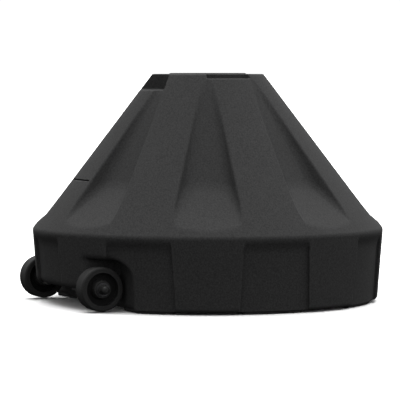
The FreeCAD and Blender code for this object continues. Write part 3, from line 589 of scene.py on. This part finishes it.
def make_fill_neck():
    """The neck under the tank's top, and the gasket on it."""
    upright = Vector((0, 0, 1)).to_track_quat("Z", "Y")
    place = (0, 0, DECK_Z)
    top = -WALL - SEAT_GAP
    bottom = top - NECK_FLANGE
    turned("fill_neck", "tank", [
        (NECK_BORE_R, -NECK_DEPTH, 0.8), (NECK_R, -NECK_DEPTH, 0.8), (NECK_R, bottom, 0.6),
        (NECK_FLANGE_R, bottom, 1.0), (NECK_FLANGE_R, top, 0.4), (NECK_R, top, 0.2),
        (NECK_R, 0, 0.5), (NECK_BORE_R, 0, 1.0)], upright, place)
    gasket = band(GASKET_IN_R, GASKET_OUT_R, SEAT_GAP, SEAT_GAP + GASKET_THICKNESS, SEAL_ROUND)
    turned("fill_cap_gasket", "cap_seal", gasket, upright, place)


def make_drain():
    """The sleeve through the tank's wall, and the seal under its plug."""
    outwards = Vector((0, 1, 0)).to_track_quat("Z", "X")
    place = (0, DRAIN_Y, DRAIN_Z)
    flange = SEAT_GAP + DRAIN_FLANGE
    turned("drain_bush", "tank", [
        (DRAIN_BORE_R, -DRAIN_LENGTH, 0.4), (DRAIN_R, -DRAIN_LENGTH, 0.4), (DRAIN_R, SEAT_GAP, 0.2),
        (DRAIN_FLANGE_R, SEAT_GAP, 0.3), (DRAIN_FLANGE_R, flange, 0.8),
        (DRAIN_BORE_R, flange, 0.4)], outwards, place)
    start = low_mm("drain_plug_washer")[1] - DRAIN_Y
    turned("drain_plug_washer", "plug_seal",
           band(SEAL_IN_R, SEAL_OUT_R, start, start + SEAL_THICKNESS, SEAL_ROUND), outwards, place)


# ---------------------------------------------------------------- materials

NOISE_LOW, NOISE_HIGH = 0.3, 0.7  # the range that nearly all of a noise's values lie in


def new_material(name):
    """An empty material with a shader joined to its output."""
    material = bpy.data.materials.new(name)
    material.use_nodes = True
    nodes = material.node_tree.nodes
    nodes.clear()
    output = nodes.new("ShaderNodeOutputMaterial")
    shader = nodes.new("ShaderNodeBsdfPrincipled")
    material.node_tree.links.new(shader.outputs["BSDF"], output.inputs["Surface"])
    return material, nodes, material.node_tree.links, shader


def noise(nodes, links, where, scale, detail=4.0, roughness=0.6):
    """A smooth random value at each place."""
    made = nodes.new("ShaderNodeTexNoise")
    made.inputs["Scale"].default_value = scale
    made.inputs["Detail"].default_value = detail
    made.inputs["Roughness"].default_value = roughness
    links.new(where, made.inputs["Vector"])
    return made.outputs["Fac"]


def spread(nodes, links, value, low, high, to_low, to_high):
    """Map a value's range onto another."""
    made = nodes.new("ShaderNodeMapRange")
    for socket, number in zip(("From Min", "From Max", "To Min", "To Max"), (low, high, to_low, to_high)):
        made.inputs[socket].default_value = number
    links.new(value, made.inputs["Value"])
    return made.outputs["Result"]


def blend_colours(nodes, links, factor, first, second):
    """A mix of two colours; each of them, and the factor, is a number or a node's output."""
    made = nodes.new("ShaderNodeMix")
    made.data_type = "RGBA"
    if isinstance(factor, float):
        made.inputs[0].default_value = factor
    else:
        links.new(factor, made.inputs[0])
    for socket, colour in ((made.inputs[6], first), (made.inputs[7], second)):
        if isinstance(colour, tuple):
            socket.default_value = (*colour, 1.0)
        else:
            links.new(colour, socket)
    return made.outputs[2]


BROAD_SCALE, UNEVEN_SCALE, FINE_DETAIL = 14.0, 18.0, 2.0
SPECK_LOW, SPECK_HIGH = 0.32, 0.68
SPECK_SHARE, SPECK_DARK, SPECK_LIGHT = 0.42, 0.55, 1.6
# painted shade in a recess: its colour as a share of the dark tone
RECESS_PAINTED_SHADE = 0.35
RUBBED_SHARE, RUBBED_LIGHT = 0.35, 2.0
EDGE_LOW, EDGE_HIGH = 0.52, 0.62  # pointiness, from nearly flat to a sharp edge
GLOSS_CHANGE = 0.02
GRAIN_STRENGTH = 0.6


def moulded_plastic(name, dark, light, roughness, specular, grain, grain_depth, recess=None):
    """
    Moulded plastic: two close tones, a fine stipple, rubbed edges and uneven gloss. A recess of
    (inner, outer) radius about the object's Z axis gets painted shade: its colour is made darker.
    """
    material, nodes, links, shader = new_material(name)
    where = nodes.new("ShaderNodeTexCoord").outputs["Object"]
    patches = noise(nodes, links, where, BROAD_SCALE)
    broad = spread(nodes, links, patches, NOISE_LOW, NOISE_HIGH, 0.0, 1.0)
    fine = noise(nodes, links, where, grain, FINE_DETAIL)
    tone = blend_colours(nodes, links, broad, dark, light)
    speck = spread(nodes, links, fine, SPECK_LOW, SPECK_HIGH, 0.0, 1.0)
    speckled = blend_colours(nodes, links, speck, shaded(dark, SPECK_DARK), shaded(light, SPECK_LIGHT))
    colour = blend_colours(nodes, links, SPECK_SHARE, tone, speckled)
    # painted shade: darken the colour inside the recess, where shade falls
    if recess:
        colour = blend_colours(nodes, links, ring_mask(nodes, links, where, *recess), colour,
                               shaded(dark, RECESS_PAINTED_SHADE))
    edge = nodes.new("ShaderNodeNewGeometry").outputs["Pointiness"]
    rubbed = spread(nodes, links, edge, EDGE_LOW, EDGE_HIGH, 0.0, RUBBED_SHARE)
    links.new(blend_colours(nodes, links, rubbed, colour, shaded(light, RUBBED_LIGHT)),
              shader.inputs["Base Color"])
    uneven = noise(nodes, links, where, UNEVEN_SCALE)
    gloss = spread(nodes, links, uneven, NOISE_LOW, NOISE_HIGH, roughness - GLOSS_CHANGE,
                   roughness + GLOSS_CHANGE)
    links.new(gloss, shader.inputs["Roughness"])
    shader.inputs["Specular IOR Level"].default_value = specular
    bump = nodes.new("ShaderNodeBump")
    bump.inputs["Strength"].default_value = GRAIN_STRENGTH
    bump.inputs["Distance"].default_value = grain_depth
    links.new(fine, bump.inputs["Height"])
    links.new(bump.outputs["Normal"], shader.inputs["Normal"])
    return material


def shaded(colour, share):
    """A colour made darker, or lighter when the share is over 1."""
    return tuple(channel * share for channel in colour)


def combined(nodes, links, operation, first, second):
    """Two values added or multiplied."""
    made = nodes.new("ShaderNodeMath")
    made.operation = operation
    links.new(first, made.inputs[0])
    links.new(second, made.inputs[1])
    return made.outputs["Value"]


RING_BLUR = 0.8 * MM


def ring_mask(nodes, links, where, inner, outer):
    """1 between two radii about the object's Z axis, 0 outside them."""
    flat = nodes.new("ShaderNodeVectorMath")
    flat.operation = "MULTIPLY"
    flat.inputs[1].default_value = (1, 1, 0)
    links.new(where, flat.inputs[0])
    radius = nodes.new("ShaderNodeVectorMath")
    radius.operation = "LENGTH"
    links.new(flat.outputs["Vector"], radius.inputs[0])
    past_inner = spread(nodes, links, radius.outputs["Value"], inner - RING_BLUR, inner + RING_BLUR,
                        0.0, 1.0)
    before_outer = spread(nodes, links, radius.outputs["Value"], outer - RING_BLUR,
                          outer + RING_BLUR, 1.0, 0.0)
    return combined(nodes, links, "MULTIPLY", past_inner, before_outer)


STEEL_DARK, STEEL_LIGHT = (0.045, 0.045, 0.047), (0.075, 0.075, 0.078)
STEEL_TONE_SCALE, STEEL_GLOSS_SCALE = 60.0, 200.0
STEEL_SMOOTH, STEEL_ROUGH = 0.32, 0.5


def steel(name):
    """Plated steel, a little uneven in tone and gloss."""
    material, nodes, links, shader = new_material(name)
    where = nodes.new("ShaderNodeTexCoord").outputs["Object"]
    patches = noise(nodes, links, where, STEEL_TONE_SCALE)
    tone = spread(nodes, links, patches, NOISE_LOW, NOISE_HIGH, 0.0, 1.0)
    links.new(blend_colours(nodes, links, tone, STEEL_DARK, STEEL_LIGHT),
              shader.inputs["Base Color"])
    shader.inputs["Metallic"].default_value = 1.0
    uneven = noise(nodes, links, where, STEEL_GLOSS_SCALE)
    links.new(spread(nodes, links, uneven, NOISE_LOW, NOISE_HIGH, STEEL_SMOOTH, STEEL_ROUGH),
              shader.inputs["Roughness"])
    return material


def paint(thing, material):
    """Give a thing one material in place of any it has."""
    thing.data.materials.clear()
    thing.data.materials.append(material)


# ---------------------------------------------------------------- stage

VIEW_AZIMUTH = math.radians(67.5)
IMAGE_RIGHT = Vector((math.cos(VIEW_AZIMUTH), math.sin(VIEW_AZIMUTH), 0))
TOWARD_CAMERA = Vector((math.sin(VIEW_AZIMUTH), -math.cos(VIEW_AZIMUTH), 0))
CAMERA_DISTANCE, CAMERA_HEIGHT = 5.8, 0.506
AIM_HEIGHT, AIM_LEFT = 0.2187, 0.0168
LENS, SENSOR_WIDTH, FARTHEST_SEEN = 240.0, 36.0, 200.0
DOME, BELOW, OVERHEAD = 1.06, 0.07, 4.7
HORIZON_LOW, HORIZON_HIGH = -0.03, -0.02
LEFT_END, LEFT_START = -1.0, -0.1
LEFT_SHARE = 0.4                  # of the dome's light, from its left side
PATCH_EDGE, PATCH_FULL = 0.72, 0.92
LIGHT_TILT = math.radians(18)     # the overhead light comes from a little behind the tank
LIGHT_FROM = Vector((0, 0, math.cos(LIGHT_TILT))) - TOWARD_CAMERA * math.sin(LIGHT_TILT)
LIGHT_DISTANCE, LIGHT_SIZE, LIGHT_POWER = 3.2, 3.0, 8.0
LIGHT_AIM = Vector((0, 0, 0.2))
FLOOR_REACH, FLOOR_TONE, FLOOR_ROUGHNESS = 400.0, 0.9, 0.9


def make_floor():
    """A pale floor that reaches the horizon and takes no part in lighting the tank."""
    mesh = bpy.data.meshes.new("floor")
    corners = [(x * FLOOR_REACH, y * FLOOR_REACH, 0) for x, y in ((-1, -1), (1, -1), (1, 1), (-1, 1))]
    mesh.from_pydata(corners, [], [(0, 1, 2, 3)])
    floor = bpy.data.objects.new("floor", mesh)
    bpy.context.scene.collection.objects.link(floor)
    material, _, _, shader = new_material("pale_floor")
    shader.inputs["Base Color"].default_value = (FLOOR_TONE, FLOOR_TONE, FLOOR_TONE, 1)
    shader.inputs["Roughness"].default_value = FLOOR_ROUGHNESS
    shader.inputs["Specular IOR Level"].default_value = 0.0
    paint(floor, material)
    floor.visible_diffuse = False
    floor.visible_glossy = False


def along(nodes, links, where, direction):
    """How far a place lies along a direction."""
    made = nodes.new("ShaderNodeVectorMath")
    made.operation = "DOT_PRODUCT"
    links.new(where, made.inputs[0])
    made.inputs[1].default_value = direction
    return made.outputs["Value"]


def make_world():
    """
    A white studio dome that is dimmer on its left, with a broad soft light overhead and a little
    light from below.
    """
    world = bpy.data.worlds.new("studio")
    bpy.context.scene.world = world
    world.use_nodes = True
    nodes, links = world.node_tree.nodes, world.node_tree.links
    nodes.clear()
    output = nodes.new("ShaderNodeOutputWorld")
    background = nodes.new("ShaderNodeBackground")
    where = nodes.new("ShaderNodeTexCoord").outputs["Generated"]
    height = along(nodes, links, where, (0, 0, 1))
    rightward = along(nodes, links, where, IMAGE_RIGHT)
    lightward = along(nodes, links, where, LIGHT_FROM)
    dome = spread(nodes, links, height, HORIZON_LOW, HORIZON_HIGH, BELOW, DOME)
    side = spread(nodes, links, rightward, LEFT_END, LEFT_START, LEFT_SHARE, 1.0)
    overhead = spread(nodes, links, lightward, PATCH_EDGE, PATCH_FULL, 0.0, OVERHEAD)
    dimmed = combined(nodes, links, "MULTIPLY", dome, side)
    links.new(combined(nodes, links, "ADD", dimmed, overhead), background.inputs["Strength"])
    background.inputs["Color"].default_value = (1, 1, 1, 1)
    links.new(background.outputs["Background"], output.inputs["Surface"])


def make_light():
    """A large soft lamp in the overhead light's direction."""
    light = bpy.data.lights.new("overhead", "AREA")
    light.shape = "DISK"
    light.size = LIGHT_SIZE
    light.energy = LIGHT_POWER
    thing = bpy.data.objects.new("overhead", light)
    thing.location = LIGHT_FROM * LIGHT_DISTANCE
    thing.rotation_mode = "QUATERNION"
    thing.rotation_quaternion = (thing.location - LIGHT_AIM).to_track_quat("Z", "Y")
    bpy.context.scene.collection.objects.link(thing)


def make_camera():
    """A long lens a little above the tank's top, looking slightly down."""
    aim = Vector((0, 0, AIM_HEIGHT)) - IMAGE_RIGHT * AIM_LEFT
    data = bpy.data.cameras.new("camera")
    data.lens = LENS
    data.sensor_width = SENSOR_WIDTH
    data.clip_end = FARTHEST_SEEN
    camera = bpy.data.objects.new("camera", data)
    camera.location = TOWARD_CAMERA * CAMERA_DISTANCE + Vector((0, 0, CAMERA_HEIGHT))
    camera.rotation_mode = "QUATERNION"
    camera.rotation_quaternion = (camera.location - aim).to_track_quat("Z", "Y")
    bpy.context.scene.collection.objects.link(camera)
    bpy.context.scene.camera = camera


# ---------------------------------------------------------------- whole scene

polyethylene = moulded_plastic(
    "polyethylene", (0.0282, 0.0282, 0.0284), (0.0304, 0.0304, 0.0306), roughness=0.86,
    specular=0.08, grain=300.0, grain_depth=0.0004)
# the wheel's web between hub and rim gets painted shade through its recess radii
wheel_plastic = moulded_plastic(
    "wheel_plastic", (0.020, 0.020, 0.020), (0.025, 0.025, 0.025), roughness=0.6,
    specular=0.1, grain=900.0, grain_depth=0.0001, recess=(0.0210, 0.0342))
tyre_rubber = moulded_plastic(
    "tyre_rubber", (0.018, 0.018, 0.018), (0.022, 0.022, 0.022), roughness=0.7,
    specular=0.1, grain=700.0, grain_depth=0.0002)
small_plastic = moulded_plastic(
    "small_plastic", (0.012, 0.012, 0.012), (0.016, 0.016, 0.016), roughness=0.5,
    specular=0.2, grain=1400.0, grain_depth=0.0001)
FINISHES = {"tank_polyethylene": polyethylene, "wheel_plastic": wheel_plastic,
            "tyre_rubber": tyre_rubber, "cap_plastic": small_plastic, "insert_nylon": small_plastic,
            "seal_rubber": tyre_rubber, "zinc_steel": steel("zinc_steel")}
for node, slot in SLOTS.items():
    paint(NODES[node], FINISHES[slot])

paint(make_tank(), polyethylene)
make_wheel("left", -1)
make_wheel("right", 1)
make_axle()
make_fill_neck()
make_drain()
for node, width in SOFT_EDGES.items():
    softened(node, width)

make_floor()
make_world()
make_light()
make_camera()
bpy.context.scene.view_settings.view_transform = "Standard"
